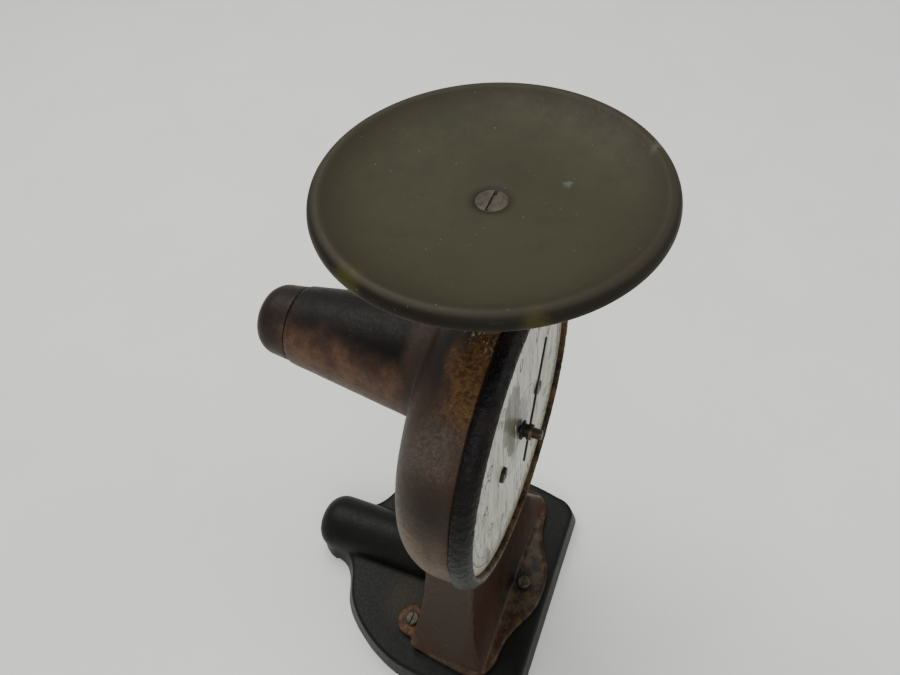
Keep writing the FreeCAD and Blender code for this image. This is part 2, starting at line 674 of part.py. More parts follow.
def base_wire(z, inset):
    """Base outline at height z: straight front, rounded corners, S-curved sides and a round rear end."""
    side_x = 75.0 - inset
    front_y = -34.5 + inset
    tail_r = TUNNEL_R + 2.0 - inset
    tail_y = TUNNEL_Y[1] - 2.0
    corner = V(side_x - 5.0, front_y + 13.0, z)
    side = [
        corner,
        V(side_x - 1.5, -2.0, z),
        V(side_x, 22.0, z),
        V(side_x - 2.0, 42.0, z),
        V(side_x - 9.5, 61.0, z),
        V(side_x - 20.0, 77.0 - inset * 0.5, z),
        V(side_x - 32.0, 88.0 - inset, z),
        V(tail_r + 7.0, 95.5 - inset, z),
        V(tail_r + 1.0, 102.0 - inset, z),
        V(tail_r, tail_y, z),
    ]
    edges = [Part.makeLine(V(-side_x + 14.0, front_y, z), V(side_x - 14.0, front_y, z))]
    bend = V(side_x - 8.2, front_y + 4.2, z)
    edges.append(Part.Arc(V(side_x - 14.0, front_y, z), bend, corner).toShape())
    curve = Part.BSplineCurve()
    curve.interpolate(side)
    edges.append(curve.toShape())
    tail_tip = V(0, tail_y + 15.0 - inset, z)
    edges.append(Part.Arc(V(tail_r, tail_y, z), tail_tip, V(-tail_r, tail_y, z)).toShape())
    mirror_curve = Part.BSplineCurve()
    mirror_curve.interpolate([V(-p.x, p.y, p.z) for p in reversed(side)])
    edges.append(mirror_curve.toShape())
    left_bend = V(-bend.x, bend.y, z)
    edges.append(Part.Arc(V(-corner.x, corner.y, z), left_bend, V(-side_x + 14.0, front_y, z)).toShape())
    return Part.Wire(edges)


def tunnel(radius, y_start, reach):
    """Round horn along Y on the base, closed by a dome that ends at reach."""
    y_dome = TUNNEL_Y[1]
    depth = reach - y_dome
    return turned_y([
        (y_start, 0),
        (y_start, radius),
        (y_dome, radius),
        ((y_dome + depth * 0.72, radius * 0.78), (reach, radius * 0.35)),
        (reach, 0),
    ], TUNNEL_Z)


def make_base():
    """Hollow cast base: sloped edge, lower horn over the guide link, a foot rib and screw bosses."""
    outer = Part.makeLoft([base_wire(0, 0), base_wire(BASE_TOP, 3.0)], True, True)
    horn = tunnel(TUNNEL_R, TUNNEL_Y[0], TAIL_END_Y).common(box((-40, 40), (30, 130), (0.0, 60.0)))
    outer = outer.fuse(horn)
    hollow = Part.makeLoft([base_wire(-1.0, 5.5), base_wire(BASE_TOP - WALL, 8.5)], True, True)
    hollow = hollow.fuse(tunnel(TUNNEL_R - WALL, TUNNEL_Y[0] - 1.0, TAIL_END_Y - 6.0))
    base = outer.cut(hollow)
    ribs = [box((-66.0, 66.0), (-3.0, 3.0), (0.0, BASE_TOP - WALL + 0.5))]
    for x, y in FOOT_SCREWS:
        ribs.append(rod_z(6.0, x, y, (1.0, BASE_TOP - WALL + 0.5)))
    base = base.fuse(ribs)
    base = base.cut(box((-12.0, 12.0), (5.5, 36.0), (-1.0, BASE_TOP + 1.0)))
    for x, y in FOOT_SCREWS:
        base = base.cut(rod_z(2.2, x, y, (4.0, BASE_TOP + 1.0)))
    pivot_y = LOWER_PIN_Y + LINK_LENGTH
    return base.cut(rod_x(PIVOT_R, (-LOW_PIVOT_X, LOW_PIVOT_X), pivot_y, LOWER_PIN_Z - LINK_DROP))


def make_foot_screws():
    """Three slotted screws that hold the casting's foot to the base."""
    seat_z = BASE_TOP + FLANGE_T
    screws = [pan_screw(V(x, y, seat_z), Z_AXIS, 4.2, 2.4, 2.2, 15.0) for x, y in FOOT_SCREWS]
    return Part.makeCompound(screws)


def main():
    os.makedirs("parts", exist_ok=True)
    save("weigh_plate", make_weigh_plate())
    save("plate_screw", make_plate_screw())
    save("plate_hub", make_plate_hub())
    save("stem", make_stem())
    save("crosshead", make_crosshead())
    save("load_frame", make_load_frame())
    save("frame_screws", make_frame_screws())
    save("rack", make_rack())
    save("rack_screws", make_rack_screws())
    save("lower_strap", make_lower_strap())
    save("strap_screws", make_strap_screws())
    save("upper_link_pin", rod_x(PIN_R, (-15.0, 15.0), UPPER_PIN_Y, UPPER_PIN_Z))
    save("lower_link_pin", rod_x(PIN_R, (-9.0, 9.0), LOWER_PIN_Y, LOWER_PIN_Z))
    save("spring_left", make_spring(-SPRING_X))
    save("spring_right", make_spring(SPRING_X))
    save("spring_posts", make_spring_posts())
    save("upper_link", make_link(UPPER_PIN_Y, UPPER_PIN_Z, 10.4, 13.4, 2.5))
    save("lower_link", make_link(LOWER_PIN_Y, LOWER_PIN_Z, 4.6, 7.2, 2.0))
    upper_y = UPPER_PIN_Y + LINK_LENGTH
    lower_y = LOWER_PIN_Y + LINK_LENGTH
    save("upper_pivot_pin", rod_x(PIVOT_R, (-PIVOT_X, PIVOT_X), upper_y, UPPER_PIN_Z - LINK_DROP))
    save("lower_pivot_pin", rod_x(PIVOT_R, (-LOW_PIVOT_X, LOW_PIVOT_X), lower_y, LOWER_PIN_Z - LINK_DROP))
    save("arbor", make_arbor())
    save("pinion", make_pinion())
    save("pointer_collet", make_pointer_collet())
    save("pointer", make_pointer())
    save("pointer_washer", make_pointer_washer())
    save("pointer_nut", make_pointer_nut())
    save("housing", make_housing())
    save("horn_cap", make_horn_cap())
    save("stem_bush", make_stem_bush())
    save("bezel_ring", make_bezel_ring())
    save("dial_plate", make_dial_plate())
    save("dial_screws", make_dial_screws())
    save("dial_spacers", make_dial_spacers())
    save("front_cock", make_front_cock())
    save("rear_bearing", make_rear_bearing())
    save("base", make_base())
    save("foot_screws", make_foot_screws())
    for name, shape in SHAPES.items():
        print("%-16s solids %d valid %s" % (name, len(shape.Solids), shape.isValid()))


main()
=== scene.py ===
import json
import math

import bmesh
import bpy
from mathutils import Matrix, Vector, noise


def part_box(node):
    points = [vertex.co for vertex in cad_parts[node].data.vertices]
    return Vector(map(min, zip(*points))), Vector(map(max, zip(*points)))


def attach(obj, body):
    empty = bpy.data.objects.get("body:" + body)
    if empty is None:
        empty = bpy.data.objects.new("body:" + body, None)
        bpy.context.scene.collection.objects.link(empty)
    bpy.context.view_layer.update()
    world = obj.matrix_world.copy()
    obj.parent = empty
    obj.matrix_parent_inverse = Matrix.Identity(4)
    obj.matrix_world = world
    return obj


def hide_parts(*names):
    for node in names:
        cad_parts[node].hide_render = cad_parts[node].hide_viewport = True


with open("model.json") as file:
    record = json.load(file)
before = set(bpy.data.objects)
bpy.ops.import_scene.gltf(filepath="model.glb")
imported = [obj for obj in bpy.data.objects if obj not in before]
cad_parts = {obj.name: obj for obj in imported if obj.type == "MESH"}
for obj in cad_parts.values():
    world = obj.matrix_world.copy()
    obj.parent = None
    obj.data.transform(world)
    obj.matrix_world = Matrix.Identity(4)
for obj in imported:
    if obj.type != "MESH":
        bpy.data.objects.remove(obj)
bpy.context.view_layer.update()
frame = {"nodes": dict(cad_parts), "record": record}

NODES = frame["nodes"]
MM = 0.001

# Places taken from the frame
PLATE_LOW, PLATE_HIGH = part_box("weigh_plate")
DIAL_LOW, DIAL_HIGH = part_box("dial_plate")
BEZEL_SEAM_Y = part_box("bezel_ring")[1].y  # where the bezel meets the casting
BASE_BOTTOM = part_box("base")[0].z
CAP_LOW, CAP_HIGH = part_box("horn_cap")
PLATE_R = PLATE_HIGH.x
RIM_Z = PLATE_HIGH.z
DIAL_Z = (DIAL_LOW.z + DIAL_HIGH.z) / 2
DIAL_R = DIAL_HIGH.x
DIAL_FACE_Y = DIAL_LOW.y
HORN_Z = (CAP_LOW.z + CAP_HIGH.z) / 2

# Sizes that the frame's boxes don't show
DISH_DEPTH = 8.0 * MM
SCREW_HOLE_R = 2.9 * MM
SCREW_HEAD_R = 5.5 * MM
INK_Y = DIAL_FACE_Y - 0.04 * MM  # plane of the print, just in front of the dial
SCALE_R = DIAL_R - 4.2 * MM      # outer line of the graduations
FULL_TURN = 24                   # whole units on the dial


# ---------------------------------------------------------------- material helpers

class Nodes:
    """A short way to write one node material; masks come from object coordinates in metres."""

    def __init__(self, name, roughness=0.5, metallic=0.0, coat=0.0, coat_roughness=0.1,
                 specular=0.5):
        self.mat = bpy.data.materials.new(name)
        self.mat.use_nodes = True
        self.tree = self.mat.node_tree
        self.bsdf = self.tree.nodes["Principled BSDF"]
        self.bsdf.inputs["Roughness"].default_value = roughness
        self.bsdf.inputs["Metallic"].default_value = metallic
        self.bsdf.inputs["Coat Weight"].default_value = coat
        self.bsdf.inputs["Coat Roughness"].default_value = coat_roughness
        self.bsdf.inputs["Specular IOR Level"].default_value = specular
        self.place = self.add("ShaderNodeTexCoord").outputs["Object"]

    def add(self, kind):
        return self.tree.nodes.new(kind)

    def link(self, value, socket):
        if isinstance(value, bpy.types.NodeSocket):
            self.tree.links.new(value, socket)
        elif isinstance(value, (tuple, list)) and len(value) == 3 and socket.type == "RGBA":
            socket.default_value = (*value, 1.0)
        else:
            socket.default_value = value

    def stretched(self, scale):
        """Object coordinates multiplied by one factor per axis."""
        node = self.add("ShaderNodeMapping")
        self.link(self.place, node.inputs["Vector"])
        node.inputs["Scale"].default_value = scale
        return node.outputs["Vector"]

    def noise(self, scale, detail=4.0, rough=0.55, source=None, distortion=0.0):
        """Fractal noise from 0 to 1; scale is in features per metre."""
        node = self.add("ShaderNodeTexNoise")
        self.link(source or self.place, node.inputs["Vector"])
        node.inputs["Scale"].default_value = scale
        node.inputs["Detail"].default_value = detail
        node.inputs["Roughness"].default_value = rough
        node.inputs["Distortion"].default_value = distortion
        return node.outputs["Fac"]

    def cracks(self, scale, source):
        """Distance to the nearest edge of a cell pattern, 0 along its cracks."""
        node = self.add("ShaderNodeTexVoronoi")
        node.feature = "DISTANCE_TO_EDGE"
        self.link(source, node.inputs["Vector"])
        node.inputs["Scale"].default_value = scale
        return node.outputs["Distance"]

    def math(self, kind, a, b=0.0, c=0.0):
        node = self.add("ShaderNodeMath")
        node.operation = kind
        for socket, value in zip(node.inputs, (a, b, c)):
            self.link(value, socket)
        return node.outputs["Value"]

    def ramp(self, value, low, high, out_low=0.0, out_high=1.0):
        """Smooth step of value from low to high."""
        node = self.add("ShaderNodeMapRange")
        node.interpolation_type = "SMOOTHSTEP"
        self.link(value, node.inputs["Value"])
        node.inputs["From Min"].default_value = low
        node.inputs["From Max"].default_value = high
        node.inputs["To Min"].default_value = out_low
        node.inputs["To Max"].default_value = out_high
        return node.outputs["Result"]

    def mix(self, factor, a, b):
        """Colour a where factor is 0 and b where it is 1."""
        node = self.add("ShaderNodeMix")
        node.data_type = "RGBA"
        self.link(factor, node.inputs[0])
        self.link(a, node.inputs[6])
        self.link(b, node.inputs[7])
        return node.outputs[2]

    def axis(self, name):
        """One object coordinate, X, Y or Z."""
        node = self.add("ShaderNodeSeparateXYZ")
        self.link(self.place, node.inputs["Vector"])
        return node.outputs[name]

    def near(self, centre, radius, soft=0.5, wobble=0.0, scale=(1, 1, 1), grain=60.0):
        """Mask that is 1 round a place and fades out at radius; wobble makes its edge ragged."""
        shift = self.add("ShaderNodeVectorMath")
        shift.operation = "SUBTRACT"
        self.link(self.place, shift.inputs[0])
        shift.inputs[1].default_value = centre
        squeeze = self.add("ShaderNodeVectorMath")
        squeeze.operation = "MULTIPLY"
        self.link(shift.outputs[0], squeeze.inputs[0])
        squeeze.inputs[1].default_value = scale
        size = self.add("ShaderNodeVectorMath")
        size.operation = "LENGTH"
        self.link(squeeze.outputs[0], size.inputs[0])
        reach = size.outputs["Value"]
        if wobble:
            ragged = self.math("MULTIPLY_ADD", self.noise(grain, 5.0, 0.65), 2 * wobble, -wobble)
            reach = self.math("ADD", reach, ragged)
        return self.ramp(reach, radius, radius * (1.0 - soft))

    def both(self, a, b):
        return self.math("MULTIPLY", a, b)

    def tint(self, colour, mask, strength, other):
        """The colour with some of another over it, where the mask is and by the given strength."""
        return self.mix(self.math("MULTIPLY", mask, strength), colour, other)

    def wobbled(self, value, wobble, size):
        """A value made uneven by a noise from 0 to 1 times size."""
        return self.math("MULTIPLY_ADD", wobble, size, value)

    def specks(self, scale, detail, rough, level):
        """Sharp specks, 1 where a noise passes a level."""
        return self.math("GREATER_THAN", self.noise(scale, detail, rough), level)

    def blotches(self, scale, detail, rough, low, high):
        """Soft-edged patches: a noise taken through a smooth step."""
        return self.ramp(self.noise(scale, detail, rough), low, high)

    def distance(self, a, b):
        """Length of the pair a, b: the distance from an axis."""
        squares = self.math("MULTIPLY", a, a), self.math("MULTIPLY", b, b)
        return self.math("SQRT", self.math("ADD", *squares))

    def from_dial_axis(self):
        """Distance from the dial's axis."""
        return self.distance(self.axis("X"), self.math("SUBTRACT", self.axis("Z"), DIAL_Z))

    def colour(self, value):
        self.link(value, self.bsdf.inputs["Base Color"])

    def rough(self, value):
        self.link(value, self.bsdf.inputs["Roughness"])

    def metal(self, value):
        self.link(value, self.bsdf.inputs["Metallic"])

    def bump(self, height, distance, strength=1.0):
        """Adds a bump on top of any earlier one; distance is the real height in metres."""
        node = self.add("ShaderNodeBump")
        node.inputs["Distance"].default_value = distance
        node.inputs["Strength"].default_value = strength
        self.link(height, node.inputs["Height"])
        socket = self.bsdf.inputs["Normal"]
        if socket.links:
            self.link(socket.links[0].from_socket, node.inputs["Normal"])
        self.link(node.outputs["Normal"], socket)


# ---------------------------------------------------------------- materials

def japanned_iron(name):
    """Brown japanned casting: dark on the horn's top, red-brown below, bronze where it is thin."""
    m = Nodes(name, specular=0.15)
    height = m.axis("Z")
    depth = m.axis("Y")
    broad = m.noise(26.0, 5.0, 0.62)
    mottle = m.noise(95.0, 5.0, 0.65)
    fine = m.noise(520.0, 6.0, 0.7)
    grain = m.noise(1700.0, 3.0, 0.6)

    purple = (0.036, 0.024, 0.018)
    red_brown = (0.046, 0.021, 0.011)
    tan = (0.100, 0.053, 0.024)
    grey = (0.105, 0.082, 0.070)
    colour = m.mix(m.ramp(broad, 0.35, 0.68), purple, red_brown)

    # Down the drum's sides: a painted purple-grey sheen (painted highlight) on the shoulder, a
    # darker band, then tan towards the bottom.
    for side in (-1, 1):
        sheen = m.near((side * 0.052, 0.007, 0.240), 0.024, 0.9, 0.012, (1, 1, 1))
        colour = m.mix(m.both(sheen, m.ramp(fine, 0.3, 0.7, 0.25, 0.9)), colour, grey)
        dark = m.near((side * 0.064, 0.006, 0.219), 0.020, 0.8, 0.012)
        colour = m.tint(colour, dark, 0.75, (0.018, 0.013, 0.010))
        low = m.near((side * 0.067, 0.015, 0.184), 0.036, 0.7, 0.014)
        colour = m.mix(m.both(low, m.ramp(mottle, 0.3, 0.7, 0.35, 0.95)), colour, tan)
    shade = m.near((-0.019, 0.0135, 0.258), 0.020, 0.8, 0.008)
    colour = m.tint(colour, shade, 0.8, (0.014, 0.011, 0.010))

    # Orange-bronze patch on the near shoulder, next to the bezel, ragged and speckled.
    patch = m.near((-0.026, -0.003, 0.257), 0.019, 0.6, 0.012, (0.72, 1.1, 0.72), 110.0)
    bronze = m.mix(m.ramp(fine, 0.30, 0.68), (0.042, 0.021, 0.009), (0.165, 0.085, 0.033))
    colour = m.tint(colour, patch, 0.92, bronze)

    # Horn: black above, reddish lower down, brown underneath near the drum.
    above_base = m.ramp(height, 0.16, 0.18)
    on_horn = m.both(m.ramp(depth, 0.027, 0.036), above_base)
    top = m.ramp(m.wobbled(height, broad, 0.016), HORN_Z + 0.015, HORN_Z + 0.027)
    under = m.ramp(m.wobbled(height, broad, 0.014), HORN_Z + 0.012, HORN_Z - 0.006)
    horn_red = m.mix(m.ramp(mottle, 0.35, 0.65), (0.058, 0.031, 0.021), (0.120, 0.064, 0.040))
    colour = m.mix(on_horn, colour, horn_red)
    underside = m.both(m.both(on_horn, under), m.ramp(depth, 0.105, 0.04, 0.1, 0.8))
    colour = m.mix(underside, colour, tan)
    colour = m.mix(m.both(on_horn, top), colour, (0.0040, 0.0028, 0.0026))
    tip = m.ramp(m.wobbled(depth, broad, 0.012), 0.094, 0.108)
    colour = m.tint(colour, m.both(tip, above_base), 0.7, (0.012, 0.009, 0.008))

    # Pedestal: dark glossy red on the front. The foot's front lobe is worn brown, with grime
    # round its screw.
    low = m.ramp(height, 0.118, 0.105)
    front_face = m.both(low, m.ramp(depth, 0.0045, 0.0015))
    colour = m.tint(colour, front_face, 0.8, (0.034, 0.014, 0.009))
    lobe = m.near((0.006, -0.018, 0.020), 0.042, 0.6, 0.012, (1.0, 1.0, 1.0), 80.0)
    colour = m.mix(m.both(lobe, m.ramp(mottle, 0.3, 0.7, 0.3, 0.8)), colour, (0.014, 0.012, 0.006))
    grime = m.near((0.0, -0.016, 0.021), 0.0145, 0.7, 0.005, (1.0, 1.0, 0.6), 180.0)
    colour = m.tint(colour, grime, 0.95, (0.004, 0.0045, 0.004))

    # Foot edge: lacquer worn to a thin tan line; rust and bare metal by the rear screws.
    foot = m.both(m.ramp(height, 0.0212, 0.0200), m.ramp(height, 0.0165, 0.0185))
    worn_edge = m.both(foot, m.blotches(160.0, 5.0, 0.7, 0.44, 0.60))
    colour = m.tint(colour, worn_edge, 0.45, (0.110, 0.072, 0.036))
    chip = m.near((-0.047, 0.040, 0.018), 0.018, 0.5, 0.008, (1, 1, 1), 140.0)
    rusted = m.blotches(260.0, 5.0, 0.7, 0.40, 0.62)
    rust = m.mix(rusted, (0.150, 0.042, 0.012), (0.085, 0.068, 0.036))
    colour = m.mix(m.both(chip, m.blotches(150.0, 4.0, 0.7, 0.46, 0.58)), colour, rust)

    # Small chips that show pale undercoat, most of them on the drum's front edge and top corner.
    rim = m.both(m.ramp(depth, -0.001, -0.0055), m.ramp(height, 0.10, 0.12))
    threshold = m.math("MULTIPLY_ADD", rim, -0.08, 0.762)
    flecks = m.specks(900.0, 3.0, 0.7, threshold)
    colour = m.mix(flecks, colour, (0.240, 0.200, 0.150))
    corner = m.near((-0.008, -0.003, 0.262), 0.0125, 0.5, 0.004, (1, 1, 1), 220.0)
    flaked = m.both(corner, m.blotches(700.0, 4.0, 0.7, 0.56, 0.62))
    colour = m.mix(flaked, colour, (0.330, 0.285, 0.215))

    # Speckled tarnish over everything.
    colour = m.mix(m.ramp(grain, 0.38, 0.72, 0.0, 0.40), colour, (0.011, 0.008, 0.006))
    m.colour(colour)
    m.metal(m.math("MULTIPLY", patch, 0.25))
    roughness = m.ramp(fine, 0.2, 0.8, 0.36, 0.56)
    m.rough(m.mix(front_face, roughness, (0.28, 0.28, 0.28)))
    m.bump(m.noise(300.0, 4.0, 0.6), 0.00028, 0.8)
    m.bump(grain, 0.00006, 0.7)
    m.bump(m.noise(45.0, 3.0, 0.5), 0.0006, 0.7)
    m.bump(m.both(chip, m.noise(200.0, 4.0, 0.7)), 0.0012, 0.9)
    m.bump(m.math("ADD", flecks, flaked), 0.00010, 0.8)
    return m.mat


def black_enamel(name):
    """Bezel: gloss black, crackled and chipped, grey at its worn bottom, brown inside."""
    m = Nodes(name, specular=0.12, coat=0.04, coat_roughness=0.12)
    height = m.axis("Z")
    depth = m.axis("Y")
    broad = m.noise(60.0, 5.0, 0.65)
    cracks = m.cracks(620.0, m.stretched((1.0, 0.5, 1.0)))
    colour = m.mix(m.ramp(broad, 0.45, 0.75), (0.0020, 0.0018, 0.0020), (0.0120, 0.0065, 0.0060))
    brown_low = m.ramp(m.wobbled(height, broad, 0.03), 0.178, 0.150)
    colour = m.tint(colour, brown_low, 0.6, (0.016, 0.008, 0.008))
    # Distance from the dial's axis tells the outer shoulder from the inner wall.
    radius = m.from_dial_axis()
    bottom = m.ramp(m.wobbled(height, broad, 0.016), DIAL_Z - 0.050, DIAL_Z - 0.062)
    rubbed = m.blotches(500.0, 5.0, 0.7, 0.35, 0.7)
    bare = m.mix(rubbed, (0.014, 0.012, 0.010), (0.040, 0.036, 0.029))
    colour = m.tint(colour, bottom, 0.8, bare)
    inner = m.ramp(radius, 0.0690, 0.0681)
    browned = m.blotches(130.0, 5.0, 0.7, 0.38, 0.62)
    brown = m.mix(browned, (0.010, 0.007, 0.004), (0.080, 0.046, 0.018))
    colour = m.mix(inner, colour, brown)
    lip = m.both(m.ramp(radius, 0.0698, 0.0686), m.blotches(90.0, 4.0, 0.7, 0.50, 0.64))
    colour = m.tint(colour, lip, 0.6, (0.075, 0.055, 0.034))
    by_the_seam = m.ramp(depth, BEZEL_SEAM_Y - 6.5 * MM, BEZEL_SEAM_Y - 0.5 * MM, 0.2, 0.9)
    chips = m.both(m.specks(750.0, 4.0, 0.75, 0.680), by_the_seam)
    colour = m.mix(chips, colour, (0.230, 0.190, 0.130))
    m.colour(colour)
    glossy = m.ramp(m.noise(800.0, 4.0, 0.7), 0.3, 0.7, 0.26, 0.50)
    m.rough(m.mix(bottom, glossy, (0.50, 0.50, 0.50)))
    m.bump(m.ramp(cracks, 0.0, 0.10), 0.00012, 0.7)
    m.bump(m.noise(700.0, 5.0, 0.7), 0.00022, 0.8)
    m.bump(m.noise(120.0, 4.0, 0.6), 0.0006, 0.5)
    return m.mat


def black_base(name):
    """Base: satin black paint, dusty on the slopes, rubbed grey along its lower edge."""
    m = Nodes(name, specular=0.17)
    height = m.axis("Z")
    broad = m.noise(30.0, 5.0, 0.6)
    fine = m.noise(600.0, 5.0, 0.7)
    colour = m.mix(m.ramp(broad, 0.3, 0.7), (0.0025, 0.0025, 0.0018), (0.0055, 0.0055, 0.0045))
    dust = m.both(m.ramp(height, 0.0135, 0.0110), m.ramp(broad, 0.2, 0.7, 0.5, 1.0))
    colour = m.tint(colour, dust, 0.7, (0.026, 0.027, 0.025))
    brownish = m.near((-0.034, 0.048, 0.016), 0.022, 0.8, 0.008)
    colour = m.tint(colour, brownish, 0.7, (0.024, 0.018, 0.009))
    flecks = m.specks(1000.0, 3.0, 0.7, 0.765)
    colour = m.mix(flecks, colour, (0.060, 0.060, 0.055))
    m.colour(colour)
    m.rough(m.ramp(fine, 0.25, 0.75, 0.40, 0.58))
    m.bump(fine, 0.00008, 0.8)
    m.bump(m.noise(90.0, 4.0, 0.55), 0.0005, 0.7)
    return m.mat


def patinated_brass(name):
    """Weighing plate: dark olive patina, purple-brown rim, turned rings, small bright wear."""
    m = Nodes(name, specular=0.13)
    height = m.axis("Z")
    radius = m.distance(m.axis("X"), m.axis("Y"))
    broad = m.noise(18.0, 5.0, 0.6)
    cloud = m.noise(70.0, 5.0, 0.65)
    fine = m.noise(900.0, 4.0, 0.7)
    colour = m.mix(m.ramp(broad, 0.3, 0.7), (0.030, 0.0280, 0.0140), (0.037, 0.0345, 0.0180))
    colour = m.mix(m.ramp(cloud, 0.42, 0.75, 0.0, 0.5), colour, (0.028, 0.027, 0.017))
    outer = m.ramp(m.wobbled(radius, cloud, 0.006), 0.045, 0.060)
    colour = m.tint(colour, outer, 0.8, (0.031, 0.025, 0.016))
    # Painted shade: the rim's outer skirt, under the lip, darkened almost to black.
    skirt = m.ramp(height, RIM_Z - 0.0002, RIM_Z - 0.0012)
    rim_skirt_shade = m.both(skirt, m.ramp(radius, 0.0565, 0.0575))
    colour = m.tint(colour, rim_skirt_shade, 0.9, (0.010, 0.0080, 0.005))
    centre = m.ramp(m.wobbled(radius, cloud, 0.003), 0.0105, 0.0068)
    colour = m.tint(colour, centre, 0.9, (0.016, 0.011, 0.006))
    # Worn spots on the rim's skirt show yellow brass with a little green.
    for place, size in (((-0.0500, -0.0300, 0.3235), 0.0060), ((-0.0540, 0.0260, 0.3235), 0.0085)):
        spot = m.near(place, size, 0.6, 0.002, (1, 1, 1), 300.0)
        colour = m.tint(colour, spot, 0.7, (0.050, 0.043, 0.010))
    # A pale rubbed smear and a few scratches on the floor.
    smear = m.near((0.0335, -0.0455, 0.3255), 0.0040, 0.7, 0.0022, (0.8, 1.7, 1.0), 500.0)
    colour = m.tint(colour, smear, 0.55, (0.105, 0.110, 0.090))
    mark = m.near((0.0145, -0.0214, 0.3210), 0.0024, 0.7, 0.0022, (1, 1, 0.5), 700.0)
    colour = m.tint(colour, mark, 0.5, (0.100, 0.115, 0.095))
    lines = m.noise(260.0, 3.0, 0.6, m.stretched((1.0, 0.06, 1.0)))
    colour = m.mix(m.ramp(lines, 0.70, 0.78, 0.0, 0.14), colour, (0.090, 0.087, 0.068))
    specks = m.specks(760.0, 2.0, 0.6, 0.745)
    colour = m.tint(colour, specks, 0.6, (0.150, 0.150, 0.125))
    pits = m.specks(1400.0, 2.0, 0.6, 0.735)
    colour = m.tint(colour, pits, 0.5, (0.012, 0.011, 0.008))
    m.colour(colour)
    uneven = m.math("ADD", m.math("MULTIPLY", cloud, 0.6), m.math("MULTIPLY", fine, 0.4))
    m.rough(m.ramp(uneven, 0.3, 0.7, 0.42, 0.60))
    rings = m.math("SINE", m.math("MULTIPLY", radius, 9000.0))
    m.bump(rings, 0.000004, 0.5)
    m.bump(fine, 0.00003, 0.6)
    m.bump(cloud, 0.00025, 0.5)
    return m.mat


def dial_face(name):
    """Dial: aged cream face, streaked and scratched, rubbed to brass up and left of the hub."""
    m = Nodes(name, coat=0.25, coat_roughness=0.25, specular=0.4)
    broad = m.noise(24.0, 5.0, 0.6)
    streaks = m.noise(150.0, 5.0, 0.7, m.stretched((1.0, 1.0, 0.12)), 0.8)
    hair = m.noise(330.0, 4.0, 0.7, m.stretched((1.0, 1.0, 0.09)), 1.6)
    colour = m.mix(m.ramp(broad, 0.3, 0.7), (0.300, 0.288, 0.235), (0.400, 0.388, 0.325))
    colour = m.mix(m.ramp(streaks, 0.50, 0.62, 0.0, 0.55), colour, (0.190, 0.178, 0.138))
    colour = m.mix(m.ramp(hair, 0.555, 0.595, 0.0, 0.85), colour, (0.052, 0.048, 0.034))
    # Painted shade: dark green-black round the hub, broken up by the scratch noise, where the hub
    # and pointer shade the face.
    painted_hub_shade = m.near((0.0, DIAL_FACE_Y, DIAL_Z + 0.004), 0.017, 0.5, 0.010, (1, 0.2, 0.8), 200.0)
    colour = m.mix(m.both(painted_hub_shade, m.ramp(hair, 0.38, 0.46)), colour, (0.022, 0.024, 0.015))
    # Brass showing: an upright ragged patch with a square lower end.
    bright = m.blotches(300.0, 4.0, 0.7, 0.35, 0.65)
    brass = m.mix(bright, (0.022, 0.020, 0.005), (0.055, 0.045, 0.014))
    for place, size, squeeze in (
        ((-0.0120, DIAL_FACE_Y, DIAL_Z + 0.026), 0.0165, (1.45, 0.2, 0.85)),
        ((-0.0125, DIAL_FACE_Y, DIAL_Z + 0.010), 0.0105, (1.9, 0.2, 0.80)),
    ):
        patch = m.near(place, size, 0.12, 0.006, squeeze, 300.0)
        colour = m.mix(patch, colour, brass)
    soiled = m.ramp(m.wobbled(m.from_dial_axis(), broad, 0.006), 0.064, 0.070)
    colour = m.tint(colour, soiled, 0.6, (0.190, 0.150, 0.085))
    m.colour(colour)
    m.rough(m.ramp(streaks, 0.3, 0.7, 0.35, 0.60))
    m.bump(m.ramp(hair, 0.555, 0.595), 0.00012, -0.8)
    m.bump(m.noise(90.0, 4.0, 0.6, m.stretched((1.0, 1.0, 0.25))), 0.0003, 0.6)
    return m.mat


def dial_ink(name):
    """Printed marks: brown-black ink, broken up where the face is rubbed."""
    m = Nodes(name, roughness=0.55)
    worn = m.ramp(m.noise(520.0, 5.0, 0.75, m.stretched((1.0, 1.0, 0.35))), 0.50, 0.60)
    m.colour(m.mix(worn, (0.024, 0.022, 0.017), (0.330, 0.315, 0.260)))
    m.bump(m.noise(1500.0, 3.0), 0.00001, 0.5)
    return m.mat


def aged_metal(name, dark, light, rust, metallic):
    """Old bare metal with mottled tarnish and some rust in the hollows."""
    scale = 260.0
    m = Nodes(name, metallic=metallic)
    patches = m.noise(scale, 5.0, 0.65)
    fine = m.noise(scale * 6.0, 4.0, 0.7)
    colour = m.mix(m.ramp(patches, 0.32, 0.68), dark, light)
    colour = m.mix(m.ramp(m.noise(scale * 1.7, 5.0, 0.7), 0.52, 0.68, 0.0, 0.8), colour, rust)
    m.colour(colour)
    m.rough(m.ramp(fine, 0.25, 0.75, 0.32, 0.6))
    m.bump(fine, 0.00003, 0.7)
    m.bump(patches, 0.00010, 0.6)
    return m.mat


def table_top(name):
    """Pale studio table with faint smudges."""
    m = Nodes(name, roughness=0.75, specular=0.2)
    smudge = m.noise(9.0, 6.0, 0.7)
    spots = m.specks(55.0, 5.0, 0.7, 0.735)
    colour = m.mix(m.ramp(smudge, 0.3, 0.75), (0.800, 0.812, 0.775), (0.765, 0.777, 0.738))
    m.colour(m.tint(colour, spots, 0.12, (0.420, 0.420, 0.400)))
    m.bump(m.noise(220.0, 3.0, 0.5), 0.0001, 0.2)
    return m.mat


# ---------------------------------------------------------------- meshes

def put(obj, body, material):
    """Gives a new piece its material and the body it rides on."""
    obj.data.materials.clear()
    obj.data.materials.append(material)
    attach(obj, body)
    return obj


def new_object(name, data):
    """Puts a mesh or a text curve into the scene."""
    obj = bpy.data.objects.new(name, data)
    bpy.context.scene.collection.objects.link(obj)
    return obj


